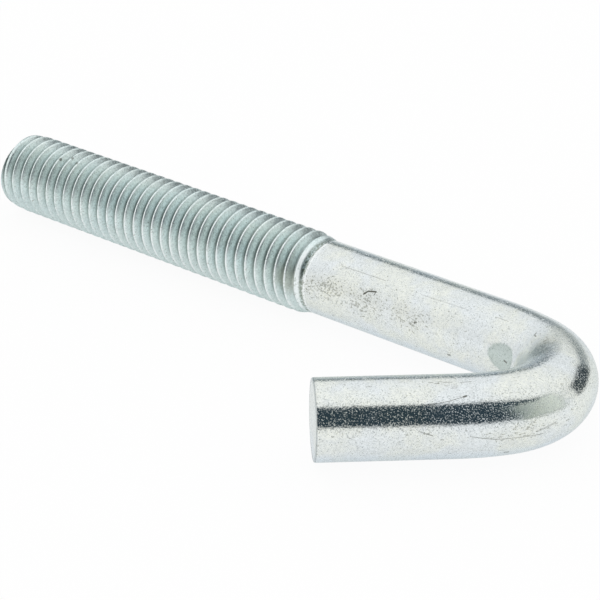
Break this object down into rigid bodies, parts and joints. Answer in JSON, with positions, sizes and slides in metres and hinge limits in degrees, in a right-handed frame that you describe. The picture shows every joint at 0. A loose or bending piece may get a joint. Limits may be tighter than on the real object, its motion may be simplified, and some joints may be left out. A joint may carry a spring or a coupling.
{
  "type": "j bolt",
  "caption": "Steel J bolt: a round rod with a rolled screw thread at one end and a hook bent back at an acute angle at the other, zinc plated.",
  "frame": {"origin": "centre of the threaded end's face, on the shank's axis", "axes": "+X along the shank from the threaded end to the bend, the leg comes back on the -Y side, +Z square to the plane of the hook, as the bolt lies on its side"},
  "size_m": [0.1186, 0.0469, 0.0126],
  "materials": {
    "zinc_plated_steel": "satin clear zinc plate"
  },
  "bodies": {
    "root": {"j_bolt": "zinc_plated_steel"}
  },
  "joints": []
}
